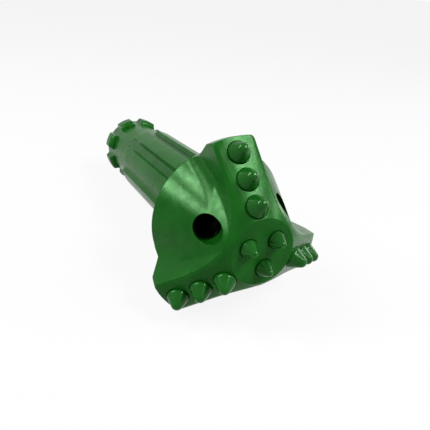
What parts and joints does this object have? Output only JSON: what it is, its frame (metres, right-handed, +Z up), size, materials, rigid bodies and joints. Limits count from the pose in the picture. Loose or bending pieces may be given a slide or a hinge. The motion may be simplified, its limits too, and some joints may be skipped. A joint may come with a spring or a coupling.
{
  "type": "down-the-hole button drill bit",
  "caption": "Rock-drilling button bit with blended wings, conical round-nosed buttons, slanted flushing holes and a long splined shank, painted green, lying on its side.",
  "frame": {"origin": "centre of the part's box at its bottom, on the ground it lies on", "axes": "+Z up, -Y the way the cutting face looks, +Y towards the shank's end, X across the bit"},
  "size_m": [0.1332, 0.3082, 0.1286],
  "materials": {
    "body_paint": "semi-gloss green enamel over machined steel",
    "button_paint": "glossy green enamel over smooth sintered carbide"
  },
  "bodies": {
    "root": {"bit_body": "body_paint", "upper_wing_button_inner": "button_paint", "upper_wing_button_middle": "button_paint", "upper_wing_button_outer": "button_paint", "hub_button_1": "button_paint", "left_wing_button_inner": "button_paint", "left_wing_button_middle": "button_paint", "left_wing_button_outer": "button_paint", "hub_button_2": "button_paint", "right_wing_button_inner": "button_paint", "right_wing_button_middle": "button_paint", "right_wing_button_outer": "button_paint", "hub_button_3": "button_paint"}
  },
  "joints": []
}
